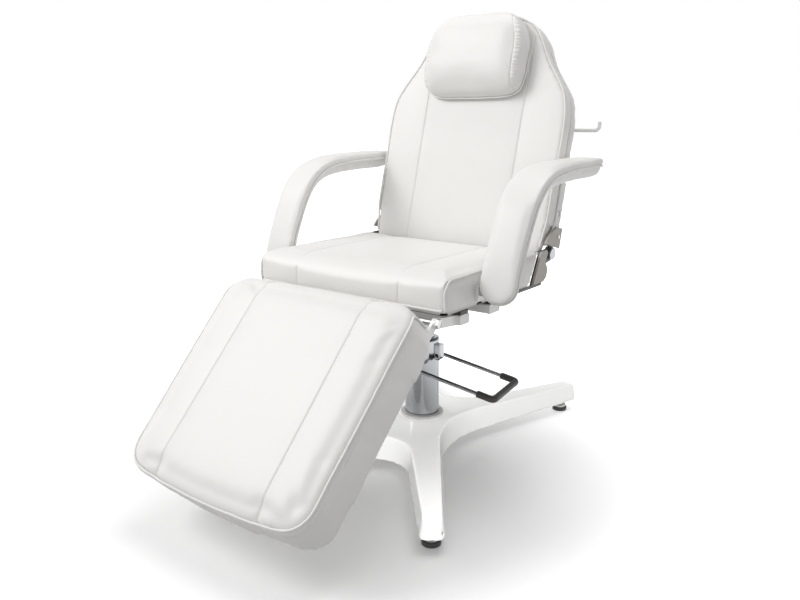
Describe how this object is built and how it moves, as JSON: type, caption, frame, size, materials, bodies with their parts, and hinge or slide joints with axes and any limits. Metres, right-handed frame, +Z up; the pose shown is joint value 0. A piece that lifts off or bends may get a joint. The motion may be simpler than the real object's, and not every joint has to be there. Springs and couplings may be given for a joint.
{
  "type": "pedicure treatment chair",
  "caption": "Padded reclining pedicure chair on a white cross base with a foot pumped column, a raising legrest, a head pillow and bent padded armrests.",
  "frame": {"origin": "on the floor, on the axis that the seat turns and lifts on", "axes": "+Z up; the sitter faces -Y; +X is the sitter's left"},
  "size_m": [0.824, 1.366, 1.2519],
  "materials": {
    "white_enamel": "gloss",
    "white_vinyl": "semi-gloss",
    "black_rubber": "matte",
    "zinc_steel": "satin",
    "chrome_plate": "polished",
    "white_plastic": "gloss",
    "black_enamel": "satin",
    "grey_plastic": "satin",
    "plywood": "raw",
    "hook_tape": "matte"
  },
  "bodies": {
    "base": {"base_casting": "white_enamel", "foot_pads": "black_rubber", "foot_studs": "zinc_steel", "column_collar": "white_plastic", "column_tube": "chrome_plate", "pump_foot": "zinc_steel", "pump_barrel": "zinc_steel", "pump_head": "chrome_plate", "valve_housing": "chrome_plate", "pedal_bosses": "chrome_plate"},
    "pedal": {"pedal_rods": "chrome_plate", "pedal_grip": "black_rubber"},
    "swivel": {"swivel_collar": "chrome_plate"},
    "seat": {"ram": "chrome_plate", "ram_piston": "zinc_steel", "mount_plate": "black_enamel", "ram_socket": "black_enamel", "frame_rails": "black_enamel", "mount_bolts": "zinc_steel", "front_cross_tube": "white_enamel", "rear_cross_tube": "white_enamel", "tail_cross_tube": "white_enamel", "tube_plugs": "white_plastic", "seat_buffers": "black_rubber", "seat_underplate": "black_enamel", "seat_board": "plywood", "arm_sockets": "white_enamel", "seat_cushion": "white_vinyl", "rear_brackets": "black_enamel", "bracket_covers": "grey_plastic", "pivot_bolts": "zinc_steel", "pivot_caps": "chrome_plate", "legrest_brackets": "white_enamel", "legrest_shaft": "zinc_steel", "shaft_nuts": "zinc_steel"},
    "back": {"back_hinge_arms": "zinc_steel", "back_cross_bar": "zinc_steel", "back_cushion": "white_vinyl", "back_board": "plywood", "back_rear_pad": "white_vinyl", "hinge_covers": "grey_plastic", "cover_screws": "zinc_steel", "roll_bar": "white_enamel", "bar_brackets": "white_enamel", "bar_screws": "zinc_steel"},
    "pillow": {"pillow": "white_vinyl", "pillow_tapes": "hook_tape"},
    "legrest": {"legrest_hinge_arms": "white_enamel", "legrest_board": "plywood", "legrest_cushion": "white_vinyl", "legrest_screws": "zinc_steel"},
    "armrest_left": {"arm_pad_left": "white_vinyl", "arm_core_left": "plywood", "arm_cover_left": "white_vinyl", "arm_stub_left": "zinc_steel"},
    "armrest_right": {"arm_pad_right": "white_vinyl", "arm_core_right": "plywood", "arm_cover_right": "white_vinyl", "arm_stub_right": "zinc_steel"}
  },
  "joints": [
    {"name": "pedal_press", "type": "hinge", "parent": "base", "child": "pedal", "pos_m": [0, 0, 0.266], "axis": [-0.1392, 0.9903, 0], "range_deg": [0, 20], "stiffness_Nm_per_rad": 6, "springref_deg": -34.38},
    {"name": "seat_swivel", "type": "hinge", "parent": "base", "child": "swivel", "pos_m": [0, 0, 0.346], "axis": [0, 0, 1], "continuous": true},
    {"name": "seat_lift", "type": "slide", "parent": "swivel", "child": "seat", "axis": [0, 0, 1], "range_m": [0, 0.15]},
    {"name": "back_recline", "type": "hinge", "parent": "seat", "child": "back", "pos_m": [0, 0.19226, 0.5812], "axis": [-1, 0, 0], "range_deg": [0, 75]},
    {"name": "pillow_shift", "type": "slide", "parent": "back", "child": "pillow", "axis": [0, 0.2588, 0.9659], "range_m": [-0.12, 0]},
    {"name": "legrest_raise", "type": "hinge", "parent": "seat", "child": "legrest", "pos_m": [0, -0.34497, 0.49402], "axis": [-1, 0, 0], "range_deg": [0, 46]},
    {"name": "armrest_left_pull", "type": "slide", "parent": "seat", "child": "armrest_left", "axis": [1, 0, 0], "range_m": [0, 0.12]},
    {"name": "armrest_right_pull", "type": "slide", "parent": "seat", "child": "armrest_right", "axis": [-1, 0, 0], "range_m": [0, 0.12]}
  ]
}
